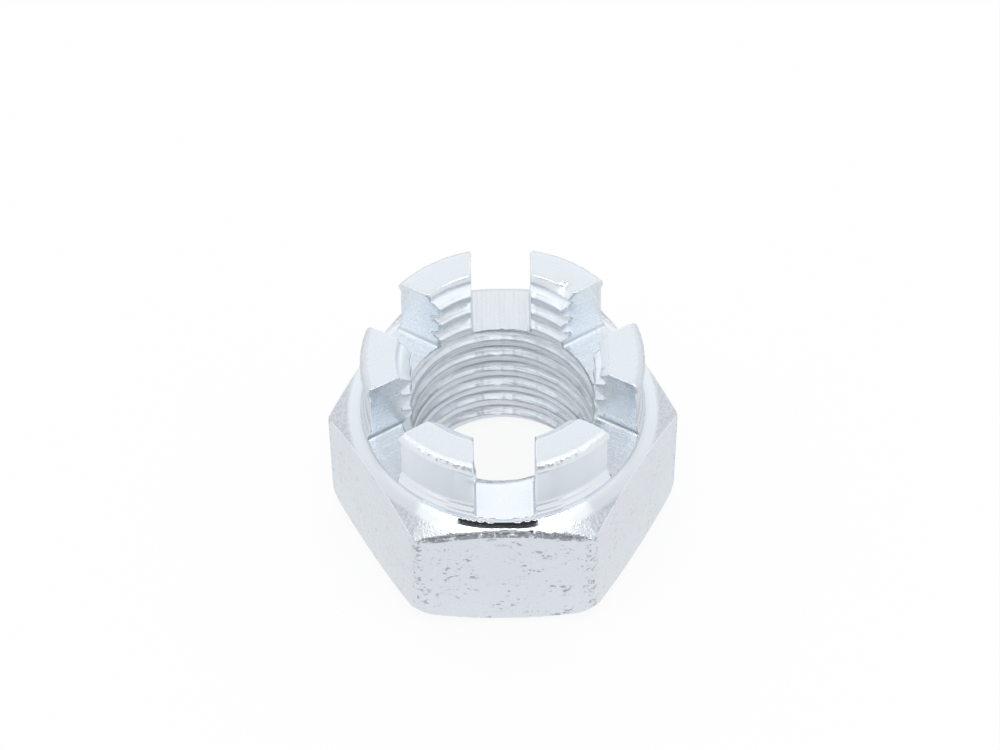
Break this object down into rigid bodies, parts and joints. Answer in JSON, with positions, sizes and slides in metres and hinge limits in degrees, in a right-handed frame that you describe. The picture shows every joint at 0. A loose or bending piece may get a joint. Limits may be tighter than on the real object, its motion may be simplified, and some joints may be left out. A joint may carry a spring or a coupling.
{
  "type": "castle nut",
  "caption": "Hexagonal castle nut with a round slotted crown above the flats, a threaded through bore and slots for a split pin.",
  "frame": {"origin": "middle of the bearing face, on the axis of the bore", "axes": "+Z runs along the bore from the bearing face to the crown; one flat of the hexagon and one slot face -Y, and two corners of the hexagon lie on the X axis"},
  "size_m": [0.0276, 0.024, 0.019],
  "materials": {
    "zinc_plated_steel": "zinc plated and blue-white passivated, with milled slots, turned crown and fine pits and scratches on the flats"
  },
  "bodies": {
    "root": {"castle_nut": "zinc_plated_steel"}
  },
  "joints": []
}
